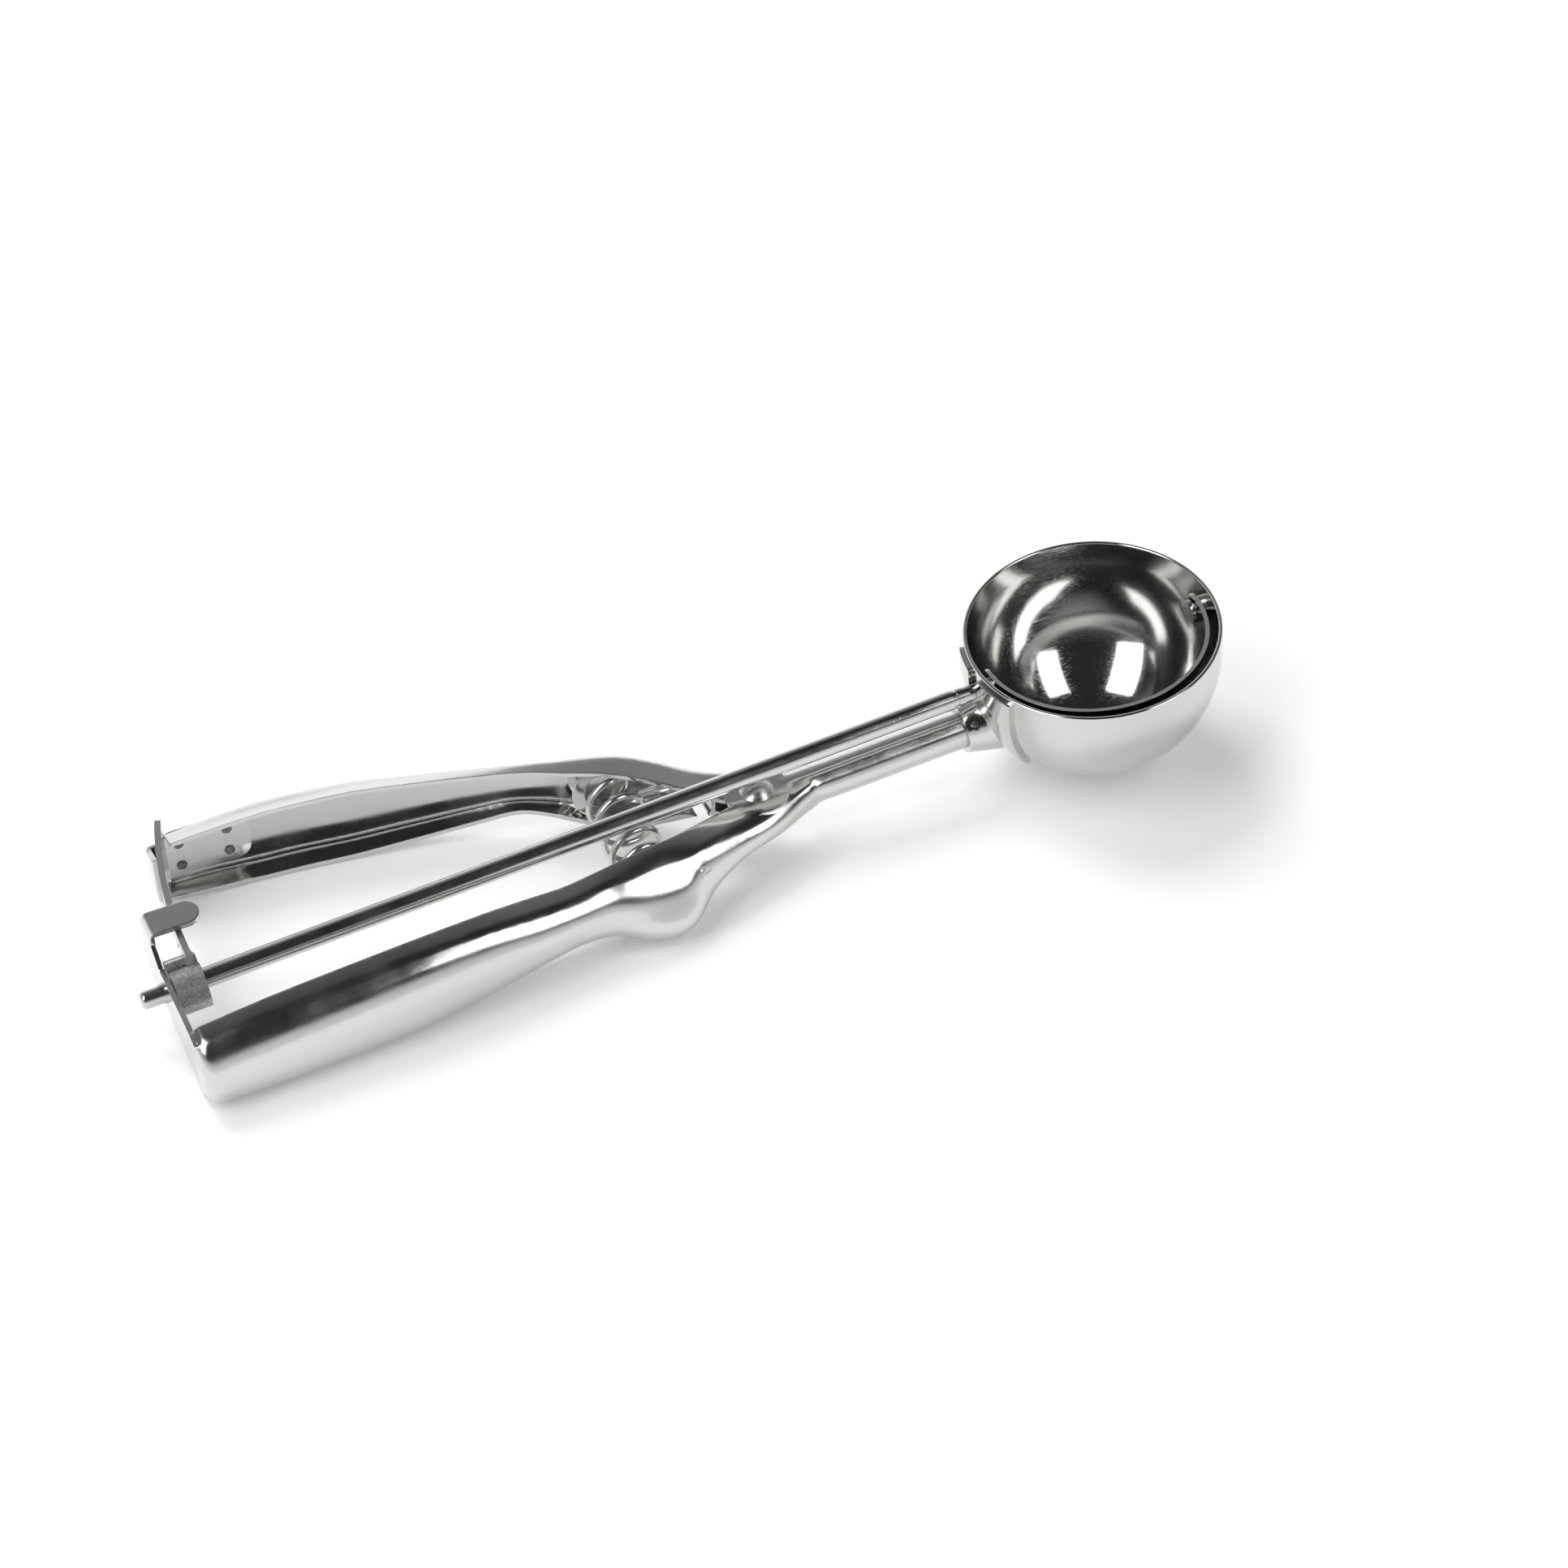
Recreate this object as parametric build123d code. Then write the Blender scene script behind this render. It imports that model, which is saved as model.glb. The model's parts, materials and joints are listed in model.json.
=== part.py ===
from build123d import *
import math
import os

# Bowl, centred on the origin with its opening up
bowl_radius = 25.0
bowl_wall = 0.8
band_height = 5.2

# Turning rod, along X through the middle of the bowl
rod_radius = 1.95
rod_wall = 0.7
rod_front = 30.5
rod_stub = 0.8
plug_grip = 6.0
tail_radius = 1.75
tail_length = 3.8
tail_round = 0.9
pin_radius = 1.65
crimp_radius = 1.8
crimp_length = 2.3
crimp_groove = 0.2
pin_reach = 1.0

# Fits
turning_gap = 0.06
side_gap = 0.3

# Handle plane, through the pivot and rising towards the rear
pivot_back = 72.0
pivot_drop = 8.0
handle_tilt = 3.2
sheet = 1.0
mouth = 12.0

# Grips behind the spring: stations are shares of the way from here to the rack's arc
rack_radius = 112.6
grip_start = 42.0


def grip(share):
    return -grip_start - share * (rack_radius - grip_start)


# Frame grip: station along the handle, outer wall, lips, height above and below the plane
frame_stations = [
    (grip(1.0765), -25.4, -16.4, 7.2, 7.4),
    (grip(0.8215), -24.4, -15.2, 8.3, 8.5),
    (grip(0.5099), -22.6, -13.9, 8.8, 9.0),
    (grip(0.2833), -20.4, -12.2, 8.0, 8.0),
    (grip(0.1133), -18.6, -10.5, 6.3, 6.3),
    (-grip_start, -17.6, -9.8, 5.5, 5.6),
    (-36.0, -18.2, -9.2, 5.5, 6.6),
    (-30.0, -20.8, -8.7, 5.6, 8.4),
    (-24.5, -22.0, -7.9, 5.5, 9.0),
    (-20.0, -21.0, -6.6, 5.0, 8.2),
    (-15.0, -16.4, -4.8, 4.4, 6.2),
    (-10.0, -12.9, -3.2, 3.9, 4.6),
    (-4.5, -10.4, -1.3, 3.4, 3.4),
    (2.0, -8.2, 0.4, 3.4, 3.4),
    (7.0, -5.8, 0.6, 3.4, 3.4),
    (12.0, -3.4, 0.6, 3.3, 3.3),
]
frame_corner = (5.4, 0.6)
frame_rise = (7.0, 0.8)
frame_end_round = 2.6
frame_hollow_end = 6.0

# Lever grip: the same columns
lever_stations = [
    (grip(0.9674), 36.3, 30.7, 7.4, 7.4),
    (grip(0.7932), 36.6, 30.6, 8.5, 8.5),
    (grip(0.6232), 36.0, 30.0, 9.3, 9.3),
    (grip(0.4533), 34.4, 28.6, 9.3, 9.3),
    (grip(0.2550), 31.6, 26.2, 8.0, 8.0),
    (grip(0.0850), 28.4, 23.6, 6.8, 6.2),
    (-40.0, 25.7, 21.4, 6.2, 5.0),
    (-33.0, 23.4, 18.0, 6.0, 6.4),
    (-26.0, 21.4, 14.6, 5.9, 8.4),
    (-20.0, 19.4, 11.0, 5.4, 8.0),
    (-15.0, 16.6, 7.6, 4.4, 5.4),
    (-10.0, 13.4, 4.4, 3.2, 3.3),
    (-6.5, 11.4, 1.8, 2.2, 2.2),
    (-3.0, 9.4, -1.0, 2.2, 2.2),
    (0.5, 7.2, -2.0, 2.2, 2.2),
    (3.5, 4.4, -2.0, 2.2, 2.2),
]
lever_corner = (2.6, 0.4)
lever_rise = (2.6, 0.7)
lever_end_round = 1.6
lever_notch = 4.0
lever_end_height = 4.6
lever_hollow_end = -8.0
station_step = 4.0

# Pivot
rivet_radius = 1.6
rivet_head_radius = 3.3
rivet_head_height = 1.4
ear_radius = 6.4
ear_half = 3.5
ear_rim = 0.2
tongue_radius = 5.4
tongue_slot = 8.0

# Shank
shank_radius = 3.8
shank_drop = 8.6
neck_start = 4.0
neck_flat = 0.1
shank_start = 18.0
shank_flat = 0.01
shank_stop = 1.4

# Rear strap and finger, across the handle
strap_near = 5.0
strap_margin = 0.6
strap_shoulder = -9.0
strap_top = 5.9
strap_heel = (-10.0, -5.2)
strap_bottom = 2.6
strap_far = 11.2
strap_chamfer = (3.5, -0.5)
finger_foot = 1.5
finger_gusset = 3.0
finger_near = 5.4
finger_tip = 10.4
finger_tip_flat = 0.4
finger_bend = 1.7
rack_headroom = 0.4

# Rack and pinion
pinion_pitch_radius = 4.65
pinion_teeth = 10
cut_teeth = 7
pinion_radius = 5.5
pinion_root_radius = 3.65
pinion_length = 5.8
pinion_facet = 4.9
pinion_facet_turn = 140.0
pinion_gap_root = 0.6
pinion_gap_knee = 4.5
pinion_gap_tip = 1.35
rack_tooth_share = 0.36
rack_addendum = 0.8
rack_dedendum = 0.95
rack_flank = 15.0
rack_thickness = 1.2
rack_top = 8.3
rack_tip = 0.9
rack_first_tooth = 0.3
rack_web = 9.0
rack_plate_length = 18.0
rack_plate_half = 5.5
rack_plate_corner = 3.0
weld_radius = 1.0
weld_height = 0.25
weld_spacing_along = 9.5
weld_spacing_up = 5.6

# Spring and its cups
wire_radius = 0.6
coil_radius = 5.1
coil_turns = 8
coil_drop = 1.6
cup_gap = 0.2
ledge_radius = 4.4
ledge_rim = 6.9
frame_seat = (-26.4, -18.2)
lever_seat = (-24.0, 17.4)
wire_bend = 1.5

# Scraper and far pin
scraper_gap = 1.6
scraper_sheet = 0.8
scraper_width = 7.0
scraper_below_rim = 0.4
far_pin_radius = 1.4
far_head_radius = 2.5
far_head_height = 0.8

# Saddle
saddle_sheet = 0.9
saddle_half_angle = 22.0
saddle_turn = 3.0
saddle_below_rim = 1.0
saddle_bottom = 15.0
collar_length = 2.6
collar_wall = 1.0
collar_flare = 6.4
flare_depth = 3.0
drain_radius = 0.65
drain_back = 1.5
drain_turn = 45.0

handle = Location((-pivot_back, 0, -pivot_drop), (0, handle_tilt, 0))
tilt = math.radians(handle_tilt)
bowl_inside = bowl_radius - bowl_wall
tooth_pitch = 2 * math.pi * pinion_pitch_radius / pinion_teeth
rod_bore = rod_radius - rod_wall
rod_rear = pivot_back - frame_stations[0][0] * math.cos(tilt) + rod_stub
shank_reach = bowl_radius + shank_stop
tongue_half = lever_stations[-1][3]


def rod_height(station):
    return (pivot_drop + station * math.sin(tilt)) / math.cos(tilt)


def across(station):
    return Plane(origin=(station, 0, 0), x_dir=(0, 1, 0), z_dir=(1, 0, 0))


def along_x(radius, rear, front):
    return extrude(across(rear) * Circle(radius), front - rear)


# A curve through one column of the stations that never swings past them
def smooth(stations, column):
    places = [row[0] for row in stations]
    values = [row[column] for row in stations]
    steps = [b - a for a, b in zip(places, places[1:])]
    rises = [(b - a) / step for a, b, step in zip(values, values[1:], steps)]
    slopes = [rises[0]]
    for before, after, first, second in zip(steps, steps[1:], rises, rises[1:]):
        if first * second <= 0:
            slopes.append(0)
        else:
            near = 2 * after + before
            far = after + 2 * before
            slopes.append((near + far) / (near / first + far / second))
    slopes.append(rises[-1])

    def at(place):
        index = 0
        while index < len(steps) - 1 and place > places[index + 1]:
            index += 1
        t = (place - places[index]) / steps[index]
        return (
            (2 * t**3 - 3 * t**2 + 1) * values[index]
            + (t**3 - 2 * t**2 + t) * steps[index] * slopes[index]
            + (3 * t**2 - 2 * t**3) * values[index + 1]
            + (t**3 - t**2) * steps[index] * slopes[index + 1]
        )

    return at


# A quarter ellipse from start to finish, with its corner given
def quarter(start, corner, finish):
    ease = 0.5523
    first = tuple(a + ease * (b - a) for a, b in zip(start, corner))
    second = tuple(a + ease * (b - a) for a, b in zip(finish, corner))
    return Bezier(start, first, second, finish)


# The pressed grip's U section, carried along its stations; inset gives the inside of the sheet
def channel(stations, side, corner, rise, inset, front):
    rear = stations[0][0] + inset
    count = max(2, round((front - rear) / station_step))
    columns = [smooth(stations, column) for column in (1, 2, 3, 4)]
    sections = []
    for index in range(count + 1):
        place = rear + (front - rear) * index / count
        wall, lip, top, bottom = [column(place) for column in columns]
        across_corner = min(corner[0], corner[1] * abs(lip - wall)) - inset
        top_corner = min(rise[0], rise[1] * top) - inset
        low_corner = min(rise[0], rise[1] * bottom) - inset
        wall += side * inset
        lip += side * (mouth if inset else 0)
        top -= inset
        bottom = inset - bottom
        bend = wall + side * across_corner
        points = [(lip, top), (bend, top), (wall, top - top_corner)]
        points += [(wall, bottom + low_corner), (bend, bottom), (lip, bottom)]
        knees = [(wall, top), (wall, bottom)]
        if side < 0:
            points.reverse()
            knees.reverse()
        outline = Line(points[0], points[1]) + quarter(points[1], knees[0], points[2])
        outline += Line(points[2], points[3]) + quarter(points[3], knees[1], points[4])
        outline += Line(points[4], points[5]) + Line(points[5], points[0])
        sections.append(across(place) * make_face(outline))
    return loft(sections)


def round_end(shape, radius, side):
    rear = shape.faces().sort_by(Axis.X)[0]
    edges = rear.edges().sort_by(Axis.Y)
    kept = edges[:-1] if side > 0 else edges[1:]
    return fillet(kept, radius)


def spring_axis():
    start = Vector(frame_seat[0], frame_seat[1], -coil_drop)
    end = Vector(lever_seat[0], lever_seat[1], -coil_drop)
    return start, end, (end - start).normalized()


# The spring's place in a grip: a flat ledge under the wire and room round the coil
def well(hollow, seat, way):
    base = Plane(origin=seat, x_dir=(0, 0, 1), z_dir=way)
    ledge = extrude(base * (Circle(ledge_rim) - Circle(ledge_radius)), -mouth)
    return hollow - ledge + extrude(base * Circle(coil_radius + wire_radius + cup_gap), mouth)


def frame_hollow():
    start, end, way = spring_axis()
    hollow = channel(frame_stations, 1, frame_corner, frame_rise, sheet, frame_hollow_end)
    return well(round_end(hollow, frame_end_round - sheet, 1), start, way)


def lever_hollow():
    hollow = channel(lever_stations, -1, lever_corner, lever_rise, sheet, lever_hollow_end)
    return round_end(hollow, lever_end_round - sheet, -1)


def make_bowl():
    below = Pos(0, 0, -bowl_radius) * Box(4 * bowl_radius, 4 * bowl_radius, 2 * bowl_radius)
    outer = Sphere(bowl_radius) & below
    outer += extrude(Circle(bowl_radius), band_height)
    inner = Sphere(bowl_inside) + extrude(Circle(bowl_inside), 2 * band_height)
    bowl = outer - inner
    bowl -= along_x(pin_radius + turning_gap, -2 * bowl_radius, 0)
    bowl -= along_x(far_pin_radius, 0, 2 * bowl_radius)
    return bowl


def make_saddle():
    top = band_height - saddle_below_rim
    outside = bowl_radius + saddle_sheet
    shell = Sphere(outside) & Pos(0, 0, -outside) * Box(4 * outside, 4 * outside, 2 * outside)
    shell += extrude(Circle(outside), top)
    low = Pos(-outside, 0, -saddle_bottom / 2) * Box(2 * outside, 4 * outside, saddle_bottom)
    low += Pos(-outside, 0, top / 2) * Box(2 * outside, 4 * outside, top)
    wedge = Pos(0, 0, -outside) * extrude(
        make_face(
            Polyline(
                (0, 0),
                (-2 * outside, -2 * outside * math.tan(math.radians(saddle_half_angle + saddle_turn))),
                (-2 * outside, 2 * outside * math.tan(math.radians(saddle_half_angle - saddle_turn))),
                close=True,
            )
        ),
        2 * outside,
    )
    patch = shell & low & wedge
    collar_end = -shank_reach - collar_length
    collar = Pos(0, 0, -shank_drop) * (across(collar_end) * Circle(shank_radius + collar_wall))
    flare = Pos(0, 0, -shank_drop) * (across(-bowl_radius + flare_depth) * Circle(collar_flare))
    saddle = patch + loft([collar, flare])
    cavity = Sphere(bowl_radius) + extrude(Circle(bowl_radius), 2 * band_height)
    saddle -= cavity
    saddle -= Pos(0, 0, -shank_drop) * along_x(shank_radius, -2 * bowl_radius, 0)
    hole = pin_radius + turning_gap
    saddle -= along_x(hole, -2 * bowl_radius, 0)
    saddle -= Pos(-outside, 0, top) * Box(4 * saddle_sheet, 2 * hole, 2 * top)
    drain = Cylinder(drain_radius, 4 * (shank_radius + collar_wall))
    return saddle - Location((collar_end + drain_back, 0, -shank_drop), (drain_turn, 0, 0)) * drain


def make_frame():
    outer = channel(frame_stations, 1, frame_corner, frame_rise, 0, frame_stations[-1][0])
    outer = round_end(outer, frame_end_round, 1)
    outer += Cylinder(ear_radius, 2 * ear_half)
    flat = across(neck_start) * RectangleRounded(2 * shank_radius, 2 * ear_half, ear_half - neck_flat)
    round_face = RectangleRounded(2 * shank_radius, 2 * shank_radius, shank_radius - shank_flat)
    neck = loft([handle * flat, Pos(0, 0, -shank_drop) * (across(-pivot_back + shank_start) * round_face)])
    hollow = frame_hollow() + Cylinder(ear_radius - ear_rim, 2 * (ear_half - sheet))
    rear, wall, lips, top, bottom = frame_stations[0]
    crest = rod_height(-rack_radius) + rack_top + rack_headroom
    strap = across(rear) * make_face(
        Polyline(
            (wall + strap_near, top - strap_margin),
            (strap_shoulder, strap_top),
            (finger_foot, strap_top),
            (finger_near, strap_top + finger_gusset),
            (finger_near, crest + sheet),
            (strap_far, crest + sheet),
            (strap_far, strap_chamfer[1]),
            (strap_far - strap_chamfer[0], -strap_bottom),
            (0, -strap_bottom),
            strap_heel,
            (wall + strap_near, strap_margin - bottom),
            close=True,
        )
    )
    back = extrude(strap, sheet)
    finger = Pos(rear + finger_tip / 2, (finger_near + strap_far) / 2, crest) * extrude(
        Rectangle(finger_tip, strap_far - finger_near), sheet
    )
    tip = finger.edges().filter_by(Axis.Z).group_by(Axis.X)[-1]
    finger = fillet(tip, (strap_far - finger_near - finger_tip_flat) / 2)
    back += finger
    bend = back.edges().filter_by(Axis.Y).group_by(Axis.Z)[-1].sort_by(Axis.X)[0]
    back = fillet(bend, finger_bend)
    body = handle * (outer + back) + neck
    body += Pos(0, 0, -shank_drop) * along_x(shank_radius, -pivot_back + shank_start, -shank_reach)
    body -= handle * hollow
    body -= Pos(0, 0, -shank_drop) * along_x(shank_radius - sheet, -pivot_back + shank_start, 0)
    body -= handle * Cylinder(rivet_radius, 4 * ear_radius)
    body -= along_x(rod_radius + turning_gap, -2 * rod_rear, -rod_front)
    return body


def make_lever():
    start, end, way = spring_axis()
    outer = channel(lever_stations, -1, lever_corner, lever_rise, 0, lever_stations[-1][0])
    outer = round_end(outer, lever_end_round, -1)
    outer += Cylinder(tongue_radius, 2 * tongue_half)
    lever = outer - well(lever_hollow(), end, way * -1)
    lever -= Cylinder(tongue_slot, 2 * (tongue_half - sheet))
    lever -= Cylinder(rivet_radius + turning_gap, 4 * tongue_radius)
    notch = Pos(lever_stations[0][0], 0, lever_end_height) * Box(
        2 * lever_notch, 8 * mouth, 4 * mouth, align=(Align.CENTER, Align.CENTER, Align.MIN)
    )
    return handle * (lever - notch)


def make_rivet():
    top = ear_half
    ball = (rivet_head_radius ** 2 + rivet_head_height ** 2) / (2 * rivet_head_height)
    dome = Pos(0, 0, top + rivet_head_height - ball) * Sphere(ball)
    dome &= Pos(0, 0, top) * extrude(Circle(rivet_head_radius), 2 * rivet_head_height)
    rivet = Cylinder(rivet_radius, 2 * top) + dome + mirror(dome, Plane.XY)
    return handle * rivet


def make_rod():
    profile = make_face(
        Polyline(
            (-rod_rear, rod_bore),
            (-rod_rear, rod_radius),
            (-rod_front, rod_radius),
            (-rod_front, rod_bore),
            close=True,
        )
    )
    return revolve(profile, Axis.X)


def make_front_pin():
    ring = crimp_length / 4
    mark = -rod_front
    front = -bowl_inside + scraper_gap + scraper_sheet + pin_reach
    profile = make_face(
        Polyline(
            (mark - plug_grip, 0),
            (mark - plug_grip, rod_bore),
            (mark, rod_bore),
            (mark, crimp_radius),
            (mark + ring, crimp_radius),
            (mark + ring, crimp_radius - crimp_groove),
            (mark + 2 * ring, crimp_radius - crimp_groove),
            (mark + 2 * ring, crimp_radius),
            (mark + 4 * ring, crimp_radius),
            (mark + 4 * ring, pin_radius),
            (front, pin_radius),
            (front, 0),
            close=True,
        )
    )
    return revolve(profile, Axis.X)


def make_tail_plug():
    head = along_x(tail_radius, -rod_rear - tail_length, -rod_rear)
    end = head.edges().filter_by(GeomType.CIRCLE).sort_by(Axis.X)[0]
    return fillet(end, tail_round) + along_x(rod_bore, -rod_rear, -rod_rear + plug_grip)


def make_pinion():
    rear = -pivot_back + (frame_stations[0][0] + sheet) * math.cos(tilt) + 2 * side_gap
    gap = make_face(
        Polyline(
            (-pinion_gap_root, pinion_root_radius),
            (pinion_gap_root, pinion_root_radius),
            (pinion_gap_root, pinion_gap_knee),
            (pinion_gap_tip, pinion_radius),
            (pinion_gap_tip, 2 * pinion_radius),
            (-pinion_gap_tip, 2 * pinion_radius),
            (-pinion_gap_tip, pinion_radius),
            (-pinion_gap_root, pinion_gap_knee),
            close=True,
        )
    )
    outline = Circle(pinion_radius)
    for tooth in range(cut_teeth):
        turn = (rack_first_tooth + tooth * tooth_pitch) / pinion_pitch_radius
        outline -= Rot(0, 0, -math.degrees(turn)) * gap
    flat = Pos(0, pinion_facet + pinion_radius) * Rectangle(4 * pinion_radius, 2 * pinion_radius)
    outline -= Rot(0, 0, pinion_facet_turn) * flat
    outline -= Circle(rod_radius)
    return extrude(across(rear) * outline, pinion_length)


def rack_angle(travel):
    return math.degrees(travel / rack_radius)


def rack_band(low, high, start, finish):
    profile = Plane.XZ * Pos(-rack_radius, (low + high) / 2) * Rectangle(rack_thickness, high - low)
    return Rot(0, 0, -rack_angle(finish)) * revolve(profile, Axis.Z, rack_angle(finish - start))


def make_rack():
    pitch_line = rod_height(-rack_radius) + pinion_pitch_radius
    top = rod_height(-rack_radius) + rack_top
    low = pitch_line - rack_addendum
    hollow = lever_hollow()
    slope = math.tan(math.radians(rack_flank))
    lever_wall = lever_stations[0][1] - sheet
    reach = rack_radius * math.asin((lever_wall - rack_thickness / 2) / rack_radius)
    strip = rack_band(low, top, -rack_tip, reach)
    half_gap = (1 - rack_tooth_share) * tooth_pitch / 2
    gap = make_face(
        Polyline(
            (-half_gap - rack_addendum * slope, -rack_addendum),
            (-half_gap + rack_dedendum * slope, rack_dedendum),
            (half_gap - rack_dedendum * slope, rack_dedendum),
            (half_gap + rack_addendum * slope, -rack_addendum),
            close=True,
        )
    )
    cutter = Pos(-rack_radius, 0, pitch_line) * (Plane.YZ * extrude(gap, 2 * rack_thickness, both=True))
    for tooth in range(-1, cut_teeth):
        place = rack_first_tooth + (tooth + 0.5) * tooth_pitch
        strip -= Rot(0, 0, -rack_angle(place)) * cutter
    web = rack_band(-rack_plate_half, low, reach - rack_web, reach)
    rear = lever_stations[0][0] + 2 * sheet
    blank = Plane.XZ * RectangleRounded(rack_plate_length, 2 * rack_plate_half, rack_plate_corner)
    plate = Pos(rear + rack_plate_length / 2, lever_wall, 0) * extrude(blank, 3 * mouth, both=True)
    plate &= hollow
    plate -= Pos(0, -rack_thickness, 0) * hollow
    return handle * (strip + web + plate)


def make_welds():
    hollow = lever_hollow()
    middle = lever_stations[0][0] + 2 * sheet + rack_plate_length / 2
    spots = []
    for along in (-0.5, 0.5):
        for up in (-0.5, 0.5):
            spot = Pos(middle + along * weld_spacing_along, 0, up * weld_spacing_up) * extrude(
                Plane.XZ * Circle(weld_radius), 4 * mouth, both=True
            )
            spot &= Pos(0, -rack_thickness, 0) * hollow
            spot -= Pos(0, -rack_thickness - weld_height, 0) * hollow
            spots.append(handle * spot.solids()[0])
    return Compound(children=spots)


def make_scraper():
    outside = bowl_inside - scraper_gap
    inside = outside - scraper_sheet
    rise = band_height - scraper_below_rim
    lean = math.degrees(math.asin(rise / math.hypot(outside, scraper_width / 2)))
    lean -= math.degrees(math.atan2(scraper_width / 2, outside))
    ring = extrude(Circle(outside) - Circle(inside), scraper_width / 2, both=True)
    near = Pos(0, -2 * bowl_radius, 0) * Box(4 * bowl_radius, 4 * bowl_radius, 4 * bowl_radius)
    near += along_x(scraper_width / 2, -2 * bowl_radius, 2 * bowl_radius)
    band = ring & near
    band -= along_x(pin_radius, -2 * bowl_radius, 0)
    band -= along_x(far_pin_radius + turning_gap, 0, 2 * bowl_radius)
    return Rot(-lean, 0, 0) * band


def make_far_pin():
    inner = bowl_inside - scraper_gap - scraper_sheet - side_gap
    boss = bowl_inside - scraper_gap + side_gap
    profile = make_face(
        Polyline(
            (inner - far_head_height, 0),
            (inner - far_head_height, far_head_radius),
            (inner, far_head_radius),
            (inner, far_pin_radius),
            (boss, far_pin_radius),
            (boss, far_head_radius),
            (bowl_radius + far_head_height, far_head_radius),
            (bowl_radius + far_head_height, 0),
            close=True,
        )
    )
    return revolve(profile, Axis.X) - make_bowl()


# Two arcs that leave and arrive along the given ways: half a turn of the coil
def biarc(start, start_way, finish, finish_way):
    chord = finish - start
    ways = start_way + finish_way
    a = ways.dot(ways) - 4
    b = -2 * chord.dot(ways)
    c = chord.dot(chord)
    reach = (-b - math.sqrt(b * b - 4 * a * c)) / (2 * a)
    first = start + start_way * reach
    second = finish - finish_way * reach
    middle = (first + second) * 0.5
    return [
        TangentArc(start, middle, tangent=start_way),
        TangentArc(middle, finish, tangent=(second - first).normalized()),
    ]


def make_spring():
    start, end, way = spring_axis()
    base = Plane(origin=start, x_dir=(0, 0, 1), z_dir=way)
    length = (end - start).length
    wire = 2 * wire_radius
    turn = 2 * math.pi * coil_turns
    pitch = (length - 2 * (wire + wire_bend)) / coil_turns
    for step in range(20):
        climb = math.atan2(pitch, 2 * math.pi * coil_radius)
        rise = wire_bend * math.cos(climb)
        run = wire_bend * (1 - math.sin(climb))
        pitch = (length - 2 * wire - 2 * rise) / coil_turns

    def point(angle):
        height = wire + rise + pitch * angle / (2 * math.pi)
        return Vector(coil_radius * math.cos(angle), coil_radius * math.sin(angle), height)

    def heading(angle):
        flat = math.cos(climb)
        return Vector(-flat * math.sin(angle), flat * math.cos(angle), math.sin(climb))

    up = Vector(0, 0, 1)
    first = point(0)
    side = heading(0)
    flat = Vector(side.X, side.Y, 0).normalized()
    foot = first - flat * run - up * rise
    last = point(turn)
    side = heading(turn)
    flat = Vector(side.X, side.Y, 0).normalized()
    head = last + flat * run + up * rise
    path = [Line(foot - up * wire, foot), TangentArc(foot, first, tangent=up)]
    halves = 2 * coil_turns
    for half in range(halves):
        angle = half * math.pi
        path += biarc(point(angle), heading(angle), point(angle + math.pi), heading(angle + math.pi))
    path += [TangentArc(last, head, tangent=heading(turn)), Line(head, head + up * wire)]
    line = Wire(path)
    section = Plane(origin=foot - up * wire, z_dir=(0, 0, 1)) * Circle(wire_radius)
    coil = sweep(section, path=line)
    return handle * (base.location * coil)


pieces = {
    "bowl": make_bowl,
    "saddle": make_saddle,
    "frame": make_frame,
    "lever": make_lever,
    "rivet": make_rivet,
    "rod": make_rod,
    "front_pin": make_front_pin,
    "tail_plug": make_tail_plug,
    "pinion": make_pinion,
    "rack": make_rack,
    "spot_welds": make_welds,
    "scraper": make_scraper,
    "far_pin": make_far_pin,
    "spring": make_spring,
}


# How it lies on a table: on the bowl and both grips
def resting(shapes):
    pitch = 0
    roll = 0
    for step in range(8):
        frame_low = (Rot(roll, pitch, 0) * shapes["frame"]).bounding_box().min.Z + bowl_radius
        lever_low = (Rot(roll, pitch, 0) * shapes["lever"]).bounding_box().min.Z + bowl_radius
        pitch -= math.degrees((frame_low + lever_low) / 2 / (2 * pivot_back))
        roll -= math.degrees((lever_low - frame_low) / (2 * lever_stations[0][1]))
    turned = [Rot(roll, pitch, 0) * shape for shape in shapes.values()]
    boxes = [shape.bounding_box() for shape in turned]
    middle_x = (min(box.min.X for box in boxes) + max(box.max.X for box in boxes)) / 2
    middle_y = (min(box.min.Y for box in boxes) + max(box.max.Y for box in boxes)) / 2
    print("pitch", round(pitch, 3), "roll", round(roll, 3))
    return Pos(-middle_x, -middle_y, bowl_radius) * Rot(roll, pitch, 0)


os.makedirs("parts", exist_ok=True)
shapes = {}
for name, make in pieces.items():
    shapes[name] = make()
    print(name, len(shapes[name].solids()), round(shapes[name].volume, 1), shapes[name].is_valid)
table = resting(shapes)
for name, shape in shapes.items():
    export_step(table * shape, "parts/" + name + ".step")
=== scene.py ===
import json
import math

import bpy
from mathutils import Matrix, Vector


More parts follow.
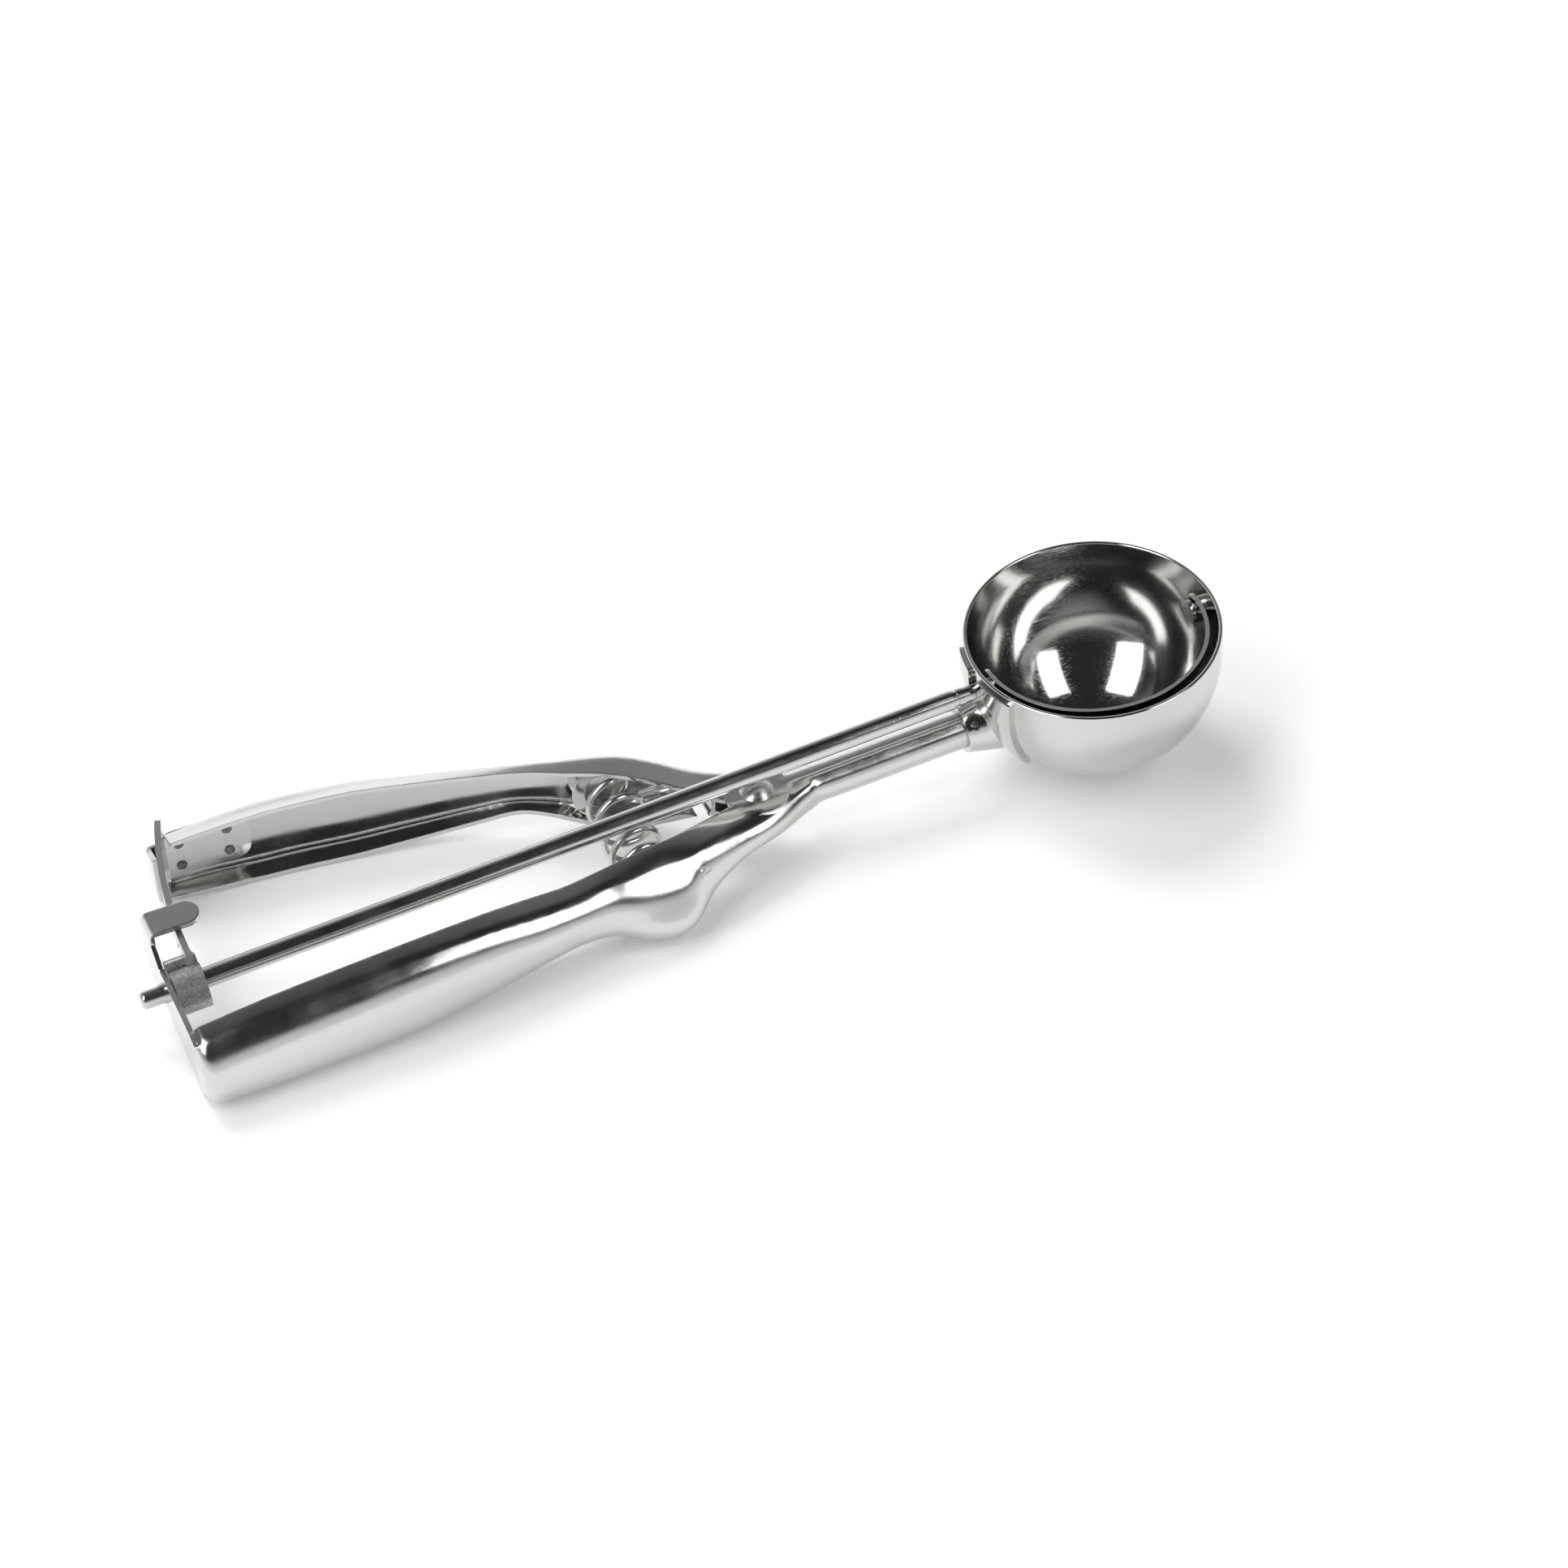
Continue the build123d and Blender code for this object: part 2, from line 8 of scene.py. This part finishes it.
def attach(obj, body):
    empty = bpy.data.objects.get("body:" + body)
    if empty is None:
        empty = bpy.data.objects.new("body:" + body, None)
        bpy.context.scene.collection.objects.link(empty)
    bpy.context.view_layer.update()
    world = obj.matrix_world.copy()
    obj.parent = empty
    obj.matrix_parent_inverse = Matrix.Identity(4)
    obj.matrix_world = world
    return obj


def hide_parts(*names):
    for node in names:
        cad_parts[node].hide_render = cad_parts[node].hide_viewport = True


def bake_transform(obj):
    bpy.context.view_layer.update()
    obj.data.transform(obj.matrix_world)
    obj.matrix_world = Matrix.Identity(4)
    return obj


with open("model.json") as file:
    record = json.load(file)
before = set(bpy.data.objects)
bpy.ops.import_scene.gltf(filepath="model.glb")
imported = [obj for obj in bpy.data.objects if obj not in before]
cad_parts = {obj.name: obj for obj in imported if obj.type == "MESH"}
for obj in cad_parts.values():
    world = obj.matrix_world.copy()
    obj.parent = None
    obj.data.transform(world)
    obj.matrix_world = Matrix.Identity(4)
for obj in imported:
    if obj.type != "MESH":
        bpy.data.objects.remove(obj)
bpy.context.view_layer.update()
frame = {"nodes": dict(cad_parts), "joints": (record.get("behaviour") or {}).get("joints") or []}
print("frame loaded:", len(frame["nodes"]), "nodes")

joints = {joint["name"]: joint for joint in frame["joints"]}
mm = 0.001


def toLinear(hexColour):
    channels = [int(hexColour[i:i + 2], 16) / 255 for i in (1, 3, 5)]
    linear = [c / 12.92 if c <= 0.04045 else ((c + 0.055) / 1.055) ** 2.4 for c in channels]
    return (*linear, 1.0)


def addNode(tree, kind, settings=None, inputs=None):
    node = tree.nodes.new(kind)
    for name, value in (settings or {}).items():
        setattr(node, name, value)
    for name, value in (inputs or {}).items():
        if isinstance(value, bpy.types.NodeSocket):
            tree.links.new(value, node.inputs[name])
        else:
            node.inputs[name].default_value = value
    return node


def newMaterial(name):
    material = bpy.data.materials.new(name)
    material.use_nodes = True
    material.node_tree.nodes.clear()
    return material, material.node_tree


# the rod's own axes: the photograph's camera was found in them
rodOrigin = Vector(joints["rod_turn"]["pos_m"])
rodAlong = Vector(joints["rod_turn"]["axis"]).normalized()
pivotAxis = Vector(joints["lever_squeeze"]["axis"]).normalized()
rodUp = (pivotAxis - rodAlong * rodAlong.dot(pivotAxis)).normalized()
rodAcross = rodUp.cross(rodAlong)


def fromRod(x, y, z):
    return rodOrigin + (rodAlong * x + rodAcross * y + rodUp * z) * mm


def rodWay(x, y, z):
    return (rodAlong * x + rodAcross * y + rodUp * z).normalized()


photoCamera = {
    "lens": 93.17,  # mm, square frame
    "sensor": 36,
    "farthest": 20,  # metres
    "eye": (-251.27, -510.69, 544.48),  # mm from the bowl's centre, along the rod's axes
    "right": (0.90943, -0.40924, -0.07385),
    "up": (0.33999, 0.62944, 0.69872),
}


def makeCamera():
    data = bpy.data.cameras.new("photoCamera")
    data.lens = photoCamera["lens"]
    data.sensor_width = photoCamera["sensor"]
    data.clip_end = photoCamera["farthest"]
    camera = bpy.data.objects.new("photoCamera", data)
    bpy.context.collection.objects.link(camera)
    right = rodWay(*photoCamera["right"])
    up = rodWay(*photoCamera["up"])
    back = right.cross(up).normalized()
    up = back.cross(right)
    turn = Matrix((right, up, back)).transposed().to_4x4()
    camera.matrix_world = Matrix.Translation(fromRod(*photoCamera["eye"])) @ turn
    bpy.context.scene.camera = camera


makeCamera()
print("camera placed")

polish = {
    "hairStretch": (0.03, 1.0, 1.0),  # scratches run long along x
    "detail": 3.0,
    "hazeSpan": (0.3, 0.7),
    "hazeSpread": (0.7, 1.3),  # of the finish's roughness
    "wornSpan": (0.52, 0.66),
    "pitReach": 0.12,
    "bumpStrength": 0.5,
    "bumpMetres": 0.00002,
}


def polishedSteel(name, finish):
    # stainless sheet, buffed: soft-edged reflections, a haze of wipe marks, long hair scratches and pin-prick pits
    material, tree = newMaterial(name)
    place = addNode(tree, "ShaderNodeTexCoord").outputs["Object"]
    along = addNode(tree, "ShaderNodeMapping", None, {
        "Vector": place, "Rotation": finish["lay"], "Scale": polish["hairStretch"]})
    hair = addNode(tree, "ShaderNodeTexNoise", None, {
        "Vector": along.outputs["Vector"], "Scale": 1000 / finish["scratchMm"], "Detail": polish["detail"]})
    smear = addNode(tree, "ShaderNodeTexNoise", None, {
        "Vector": place, "Scale": 1000 / finish["smearMm"], "Detail": polish["detail"]})
    haze = addNode(tree, "ShaderNodeMapRange", None, {
        "Value": smear.outputs["Fac"],
        "From Min": polish["hazeSpan"][0], "From Max": polish["hazeSpan"][1],
        "To Min": finish["roughness"] * polish["hazeSpread"][0],
        "To Max": finish["roughness"] * polish["hazeSpread"][1]})
    worn = addNode(tree, "ShaderNodeMapRange", None, {
        "Value": hair.outputs["Fac"],
        "From Min": polish["wornSpan"][0], "From Max": polish["wornSpan"][1],
        "To Min": 0.0, "To Max": finish["veil"]})
    dull = addNode(tree, "ShaderNodeMath", {"operation": "ADD"}, {
        0: haze.outputs["Result"], 1: worn.outputs["Result"]})
    pits = addNode(tree, "ShaderNodeTexVoronoi", None, {"Vector": place, "Scale": 1000 / finish["pitMm"]})
    dents = addNode(tree, "ShaderNodeMapRange", None, {
        "Value": pits.outputs["Distance"],
        "From Min": 0.0, "From Max": polish["pitReach"],
        "To Min": -finish["pitDepth"], "To Max": 0.0})
    height = addNode(tree, "ShaderNodeMath", {"operation": "MULTIPLY_ADD"}, {
        0: hair.outputs["Fac"], 1: finish["scratchDepth"], 2: dents.outputs["Result"]})
    bump = addNode(tree, "ShaderNodeBump", None, {
        "Height": height.outputs["Value"],
        "Strength": polish["bumpStrength"], "Distance": polish["bumpMetres"]})
    shader = addNode(tree, "ShaderNodeBsdfPrincipled", None, {
        "Base Color": toLinear(finish["colour"]), "Metallic": 1.0,
        "Roughness": dull.outputs["Value"], "Normal": bump.outputs["Normal"]})
    addNode(tree, "ShaderNodeOutputMaterial", None, {"Surface": shader.outputs["BSDF"]})
    return material


casting = {"detail": 4.0, "grainRoughness": 0.65, "darkBelow": 0.34, "paleAbove": 0.62, "bumpStrength": 0.6}


def castSteel(name, finish):
    # sand-cast stainless, tumbled: a satin face with a grain the eye can count
    material, tree = newMaterial(name)
    place = addNode(tree, "ShaderNodeTexCoord").outputs["Object"]
    grain = addNode(tree, "ShaderNodeTexNoise", None, {
        "Vector": place, "Scale": 1000 / finish["grainMm"],
        "Detail": casting["detail"], "Roughness": casting["grainRoughness"]})
    tint = addNode(tree, "ShaderNodeValToRGB", None, {"Fac": grain.outputs["Fac"]})
    dark, pale = tint.color_ramp.elements
    dark.position, dark.color = casting["darkBelow"], toLinear(finish["dark"])
    pale.position, pale.color = casting["paleAbove"], toLinear(finish["colour"])
    bump = addNode(tree, "ShaderNodeBump", None, {
        "Height": grain.outputs["Fac"],
        "Strength": casting["bumpStrength"], "Distance": finish["grainDepth"]})
    shader = addNode(tree, "ShaderNodeBsdfPrincipled", None, {
        "Base Color": tint.outputs["Color"], "Metallic": 1.0,
        "Roughness": finish["roughness"], "Normal": bump.outputs["Normal"]})
    addNode(tree, "ShaderNodeOutputMaterial", None, {"Surface": shader.outputs["BSDF"]})
    return material


sheetFinish = {
    "colour": "#cfcfcd",
    "roughness": 0.17,
    "scratchMm": 0.14,
    "scratchDepth": 0.25,
    "smearMm": 9.0,
    "pitMm": 1.6,
    "pitDepth": 0.8,
    "veil": 0.05,  # roughness that the scratches add
    "lay": (0, 0, 0),  # radians that the scratches are turned by
}
bowlFinish = dict(sheetFinish, roughness=0.09, smearMm=14.0, pitMm=3.0, veil=0.14, lay=(0.3, 0.4, 0.9))
wireFinish = dict(sheetFinish, colour="#d8d8d6", roughness=0.22, pitMm=0.9)
turnedFinish = dict(sheetFinish, colour="#c8c8c6", roughness=0.2, scratchMm=0.15, lay=(0, 0, 1.57))
castFinish = {"colour": "#dcdcda", "dark": "#a2a2a0", "roughness": 0.36, "grainMm": 0.45, "grainDepth": 0.00008}
weldFinish = {"colour": "#8c8c8a", "dark": "#3c3c3a", "roughness": 0.42, "grainMm": 0.5, "grainDepth": 0.0001}

finishes = {
    "bowl": polishedSteel("stainlessBuffedBowl", bowlFinish),
    "saddle": polishedSteel("stainlessTumbledSaddle", dict(sheetFinish, roughness=0.13)),
    "frame": polishedSteel("stainlessPolishedFrame", sheetFinish),
    "lever": polishedSteel("stainlessPolishedLever", dict(sheetFinish, roughness=0.15, pitDepth=1.4)),
    "rivet": polishedSteel("stainlessTurnedRivet", dict(turnedFinish, roughness=0.32)),
    "rod": polishedSteel("stainlessDrawnTube", dict(sheetFinish, roughness=0.16)),
    "front_pin": polishedSteel("stainlessTurnedPin", dict(turnedFinish, roughness=0.12)),
    "tail_plug": polishedSteel("stainlessTurnedPlug", turnedFinish),
    "pinion": castSteel("stainlessCastPinion", castFinish),
    "rack": polishedSteel("stainlessStampedRack", dict(sheetFinish, colour="#d2d2d0", roughness=0.3)),
    "spot_welds": castSteel("steelSpotWeld", weldFinish),
    "scraper": polishedSteel("stainlessSpringStrip", dict(bowlFinish, roughness=0.1)),
    "far_pin": polishedSteel("stainlessHeadedPin", dict(turnedFinish, roughness=0.16)),
    "spring": polishedSteel("stainlessSpringWire", wireFinish),
}

for nodeName, node in frame["nodes"].items():
    node.data.materials.clear()
    node.data.materials.append(finishes[nodeName])
print("finishes set")

# the handle's own axes: along to the bowl, across to the lever, up along the rivet
pivot = Vector(joints["lever_squeeze"]["pos_m"])
handleAlong = (rodAlong - pivotAxis * rodAlong.dot(pivotAxis)).normalized()
handleAcross = pivotAxis.cross(handleAlong)


def fromHandle(along, across, up):
    return pivot + (handleAlong * along + handleAcross * across + pivotAxis * up) * mm


def pickOnly(piece):
    bpy.ops.object.select_all(action="DESELECT")
    piece.select_set(True)
    bpy.context.view_layer.objects.active = piece


mergeMm = 0.002  # the solids' faces come unjoined


def copyNode(nodeName, pieceName):
    piece = bpy.data.objects.new(pieceName, frame["nodes"][nodeName].data.copy())
    bpy.context.collection.objects.link(piece)
    pickOnly(piece)
    bpy.ops.object.mode_set(mode="EDIT")
    bpy.ops.mesh.select_all(action="SELECT")
    bpy.ops.mesh.remove_doubles(threshold=mergeMm * mm)
    bpy.ops.object.mode_set(mode="OBJECT")
    return piece


def easeEdges(piece, edges):
    bevel = piece.modifiers.new("easedEdges", "BEVEL")
    bevel.width = edges["width"] * mm
    bevel.segments = edges["steps"]
    bevel.limit_method = "ANGLE"
    bevel.angle_limit = math.radians(edges["angle"])
    bevel.use_clamp_overlap = True
    bpy.ops.object.modifier_apply(modifier="easedEdges")
    bpy.ops.object.shade_smooth_by_angle(angle=math.radians(edges["angle"]))
    even = piece.modifiers.new("evenShade", "WEIGHTED_NORMAL")
    even.keep_sharp = True
    bpy.ops.object.modifier_apply(modifier="evenShade")


# each pressed grip's back rolls over from the lip, and the spring's cup swells only below that ridge;
# mm along the handle from the pivot, across it and up
frameRoll = {
    "side": -1,  # which way across the handle its back faces
    "rear": -126,
    "front": 14,
    "steps": 21,
    "lip": (-1.0, 0.13),  # across the handle at the pivot, and its slope along
    "depth": 15,
    "top": 9,
    "bottom": -10,
    "drop": 2.2,  # how far the outer top edge comes down
    "dropEnd": 4,
    "dropOver": 20,
    "rearIn": 3.5,  # how far the rear end's top edge comes in
    "rearFrom": -55,
    "ridge": 11.0,  # how far the cup's top edge comes in
    "ridgeAt": -23,
    "ridgeReach": 21,
    "ridgeDrop": 0.6,
    "middle": 0.35,  # share of all this half-way to the lip
    "remeshLevel": 9,
    "fill": 0.75,  # share of the remesh's cells that the length takes up
    "crease": 60,  # degrees; sharper edges are not smoothed
    "passes": 12,
    "softness": 0.5,
    "edges": {"width": 0.16, "steps": 2, "angle": 60},
}
leverRoll = dict(
    frameRoll, side=1, rear=-114, front=6, lip=(10.8, -0.19), depth=9, top=12, drop=3.0, dropEnd=-22,
    rearIn=0, ridge=0, ridgeDrop=0, middle=0.2, fill=0.6)


def rollAt(shape, along):
    swell = max(0.0, 1 - ((along - shape["ridgeAt"]) / shape["ridgeReach"]) ** 2) ** 2
    ease = min(1.0, max(0.0, (shape["dropEnd"] - along) / shape["dropOver"]))
    rear = max(0.0, (shape["rearFrom"] - along) / (shape["rearFrom"] - shape["rear"]))
    inward = shape["ridge"] * swell + shape["rearIn"] * rear
    return inward, shape["drop"] * ease + shape["ridgeDrop"] * swell


def markSoft(shape):
    # every vertex off the sharp edges goes in one group
    bpy.ops.object.mode_set(mode="EDIT")
    bpy.ops.mesh.select_mode(type="EDGE")
    bpy.ops.mesh.select_all(action="DESELECT")
    bpy.ops.mesh.edges_select_sharp(sharpness=math.radians(shape["crease"]))
    bpy.ops.mesh.select_mode(type="VERT")
    bpy.ops.mesh.select_all(action="INVERT")
    bpy.ops.object.vertex_group_add()
    bpy.ops.object.vertex_group_assign()
    bpy.ops.object.mode_set(mode="OBJECT")


def makeCage(shape):
    bpy.ops.object.select_all(action="DESELECT")
    bpy.ops.object.add(type="LATTICE", location=(0, 0, 0))
    cage = bpy.context.object
    steps, side, depth = shape["steps"], shape["side"], shape["depth"]
    rows = 3
    cage.data.points_u = steps
    cage.data.points_v = rows
    cage.data.points_w = 2
    cage.data.interpolation_type_w = "KEY_LINEAR"
    length = shape["front"] - shape["rear"]
    height = shape["top"] - shape["bottom"]
    midAlong = (shape["front"] + shape["rear"]) / 2
    midUp = (shape["top"] + shape["bottom"]) / 2
    lip, slope = shape["lip"]
    middle = fromHandle(midAlong, lip + slope * midAlong + side * depth / 2, midUp)
    way = (handleAlong + handleAcross * slope) * length * mm
    turn = Matrix((way, handleAcross * depth * mm, pivotAxis * height * mm)).transposed().to_4x4()
    cage.matrix_world = Matrix.Translation(middle) @ turn
    for step in range(steps):
        inward, down = rollAt(shape, shape["rear"] + length * step / (steps - 1))
        for row, share in ((1 + side, 1.0), (1, shape["middle"])):  # the lip's own row stays
            point = cage.data.points[step + (row + rows) * steps]
            point.co_deform.y -= side * share * inward / depth
            point.co_deform.z -= share * down / height
    return cage


def makeGrip(nodeName, pieceName, shape):
    piece = copyNode(nodeName, pieceName)
    even = piece.modifiers.new("evenMesh", "REMESH")
    even.mode = "SHARP"
    even.octree_depth = shape["remeshLevel"]
    even.scale = shape["fill"]
    even.use_remove_disconnected = False
    bpy.ops.object.modifier_apply(modifier="evenMesh")
    markSoft(shape)
    cage = makeCage(shape)
    pickOnly(piece)
    roll = piece.modifiers.new("rolledBack", "LATTICE")
    roll.object = cage
    bpy.ops.object.modifier_apply(modifier="rolledBack")
    bpy.data.objects.remove(cage)
    pickOnly(piece)
    soft = piece.modifiers.new("drawnSkin", "SMOOTH")
    soft.factor = shape["softness"]
    soft.iterations = shape["passes"]
    soft.vertex_group = piece.vertex_groups[0].name
    bpy.ops.object.modifier_apply(modifier="drawnSkin")
    bpy.ops.object.vertex_group_remove(all=True)
    easeEdges(piece, shape["edges"])
    print(pieceName + ":", len(piece.data.polygons), "faces")
    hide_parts(nodeName)
    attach(piece, nodeName)


coilShape = {
    "frame": (-26.4, -18.2, -1.6),  # its seats on the handle
    "lever": (-24.0, 17.4, -1.6),
    "stretch": 1.25,  # opens the turns, from the lever's seat
    "cupEnd": -12.5,  # across the handle, where it ends in the frame's cup
    "shadeAngle": 40,
}


def makeCoil():
    piece = copyNode("spring", "returnCoil")
    start, end = fromHandle(*coilShape["frame"]), fromHandle(*coilShape["lever"])
    way = (start - end).normalized()
    longer = Matrix.Scale(coilShape["stretch"], 4, way)
    piece.data.transform(Matrix.Translation(end) @ longer @ Matrix.Translation(-end))
    bpy.ops.object.mode_set(mode="EDIT")
    bpy.ops.mesh.select_all(action="SELECT")
    cut = fromHandle(0, coilShape["cupEnd"], 0)
    bpy.ops.mesh.bisect(plane_co=cut, plane_no=handleAcross, use_fill=True, clear_inner=True)
    bpy.ops.object.mode_set(mode="OBJECT")
    bpy.ops.object.shade_smooth_by_angle(angle=math.radians(coilShape["shadeAngle"]))
    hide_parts("spring")
    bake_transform(piece)


def makeEased(nodeName, pieceName, body, edges):
    piece = copyNode(nodeName, pieceName)
    easeEdges(piece, edges)
    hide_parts(nodeName)
    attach(piece, body)


thinEdge = {"width": 0.2, "steps": 2, "angle": 40}  # mm, bevel steps, degrees
rimEdge = {"width": 0.3, "steps": 3, "angle": 40}
toothEdge = {"width": 0.12, "steps": 1, "angle": 40}
makeGrip("frame", "gripFrame", frameRoll)
makeGrip("lever", "gripLever", leverRoll)
makeCoil()
makeEased("bowl", "rimmedBowl", "frame", rimEdge)
makeEased("saddle", "easedSaddle", "frame", thinEdge)
makeEased("scraper", "easedScraper", "rod", thinEdge)
makeEased("rack", "easedRack", "lever", toothEdge)
print("pieces eased and rolled")


def makeFloor():
    bpy.ops.object.select_all(action="DESELECT")
    bpy.ops.mesh.primitive_plane_add(size=studio["floorSize"], location=(0, 0, studio["floorHeight"]))
    floor = bpy.context.object
    floor.name = "paperSweep"
    material, tree = newMaterial("whitePaperSweep")  # matt card: no sheen, takes soft shadows
    path = addNode(tree, "ShaderNodeLightPath")
    seen = addNode(tree, "ShaderNodeMath", {"operation": "ADD"}, {
        0: path.outputs["Is Camera Ray"], 1: path.outputs["Is Glossy Ray"]})
    seen = addNode(tree, "ShaderNodeMath", {"operation": "ADD", "use_clamp": True}, {
        0: seen.outputs[0], 1: path.outputs["Is Transmission Ray"]})
    lift = addNode(tree, "ShaderNodeMath", {"operation": "MULTIPLY"}, {
        0: seen.outputs[0], 1: studio["floorLift"]})
    paper = addNode(tree, "ShaderNodeBsdfDiffuse", None, {"Color": toLinear(studio["floorColour"])})
    glow = addNode(tree, "ShaderNodeEmission", None, {"Strength": lift.outputs[0]})
    both = addNode(tree, "ShaderNodeAddShader", None, {
        0: paper.outputs["BSDF"], 1: glow.outputs["Emission"]})
    addNode(tree, "ShaderNodeOutputMaterial", None, {"Surface": both.outputs["Shader"]})
    floor.data.materials.append(material)


def makeSoftbox(name, box):
    data = bpy.data.lights.new(name, "AREA")
    data.shape = "RECTANGLE"
    data.size, data.size_y = box["size"]
    data.energy = box["power"]
    lamp = bpy.data.objects.new(name, data)
    lamp.visible_glossy = box["mirrored"]
    bpy.context.collection.objects.link(lamp)
    side, lift = math.radians(box["side"]), math.radians(box["lift"])
    right, up = rodWay(*photoCamera["right"]), rodWay(*photoCamera["up"])
    back = right.cross(up)
    way = (back * math.cos(side) + right * math.sin(side)) * math.cos(lift) + up * math.sin(lift)
    across = up.cross(way).normalized()
    turn = Matrix((across, way.cross(across), way)).transposed().to_4x4()
    roll = Matrix.Rotation(math.radians(box["roll"]), 4, "Z")
    lamp.matrix_world = Matrix.Translation(rodOrigin + way * box["distance"]) @ turn @ roll


def makeRoom():
    world = bpy.data.worlds.new("darkRoom")
    world.use_nodes = True
    tree = world.node_tree
    tree.nodes.clear()
    place = addNode(tree, "ShaderNodeTexCoord")
    parts = addNode(tree, "ShaderNodeSeparateXYZ", None, {"Vector": place.outputs["Generated"]})
    ramps = []
    for axis, stops in (("Z", studio["byHeight"]), ("Y", studio["byDepth"])):
        ramp = addNode(tree, "ShaderNodeValToRGB", None, {"Fac": parts.outputs[axis]})
        elements = ramp.color_ramp.elements
        while len(elements) < len(stops):
            elements.new(0.5)
        for element, (level, grey) in zip(elements, stops):
            element.position = level
            element.color = (grey, grey, grey, 1)
        ramps.append(ramp.outputs["Color"])
    # sockets 0, 6 and 7 are the colour mix's factor and its two colours
    grey = addNode(tree, "ShaderNodeMix", {"data_type": "RGBA", "blend_type": "ADD"}, {
        0: 1.0, 6: ramps[0], 7: ramps[1]})
    room = addNode(tree, "ShaderNodeBackground", None, {"Color": grey.outputs[2]})
    addNode(tree, "ShaderNodeOutputWorld", None, {"Surface": room.outputs["Background"]})
    bpy.context.scene.world = world


studio = {
    "floorSize": 8.0,  # metres
    "floorHeight": -0.0004,
    "floorColour": "#f4f4f4",
    "floorLift": 0.14,
    # grey of the room by height above the horizon, and what the far side adds
    "byHeight": [(0.0, 0.9), (0.28, 0.65), (0.42, 0.08), (0.6, 0.025)],
    "byDepth": [(0.35, 0.0), (0.62, 0.2), (0.78, 0.34), (0.95, 0.5)],
    # degrees to the side of the camera and above its line, roll, metres, watts
    "keyBox": {
        "side": -38, "lift": 18, "roll": -6, "distance": 1.1, "size": (0.52, 0.95), "power": 6, "mirrored": True},
    "fillBox": {
        "side": 38, "lift": 22, "roll": 6, "distance": 1.1, "size": (0.42, 0.8), "power": 3, "mirrored": True},
    "topBox": {
        "side": -60, "lift": 62, "roll": 0, "distance": 1.3, "size": (0.7, 0.7), "power": 10, "mirrored": False},
}
makeFloor()
makeRoom()
for boxName in ("keyBox", "fillBox", "topBox"):
    makeSoftbox(boxName, studio[boxName])
bpy.context.scene.view_settings.view_transform = "Standard"
print("studio lit")
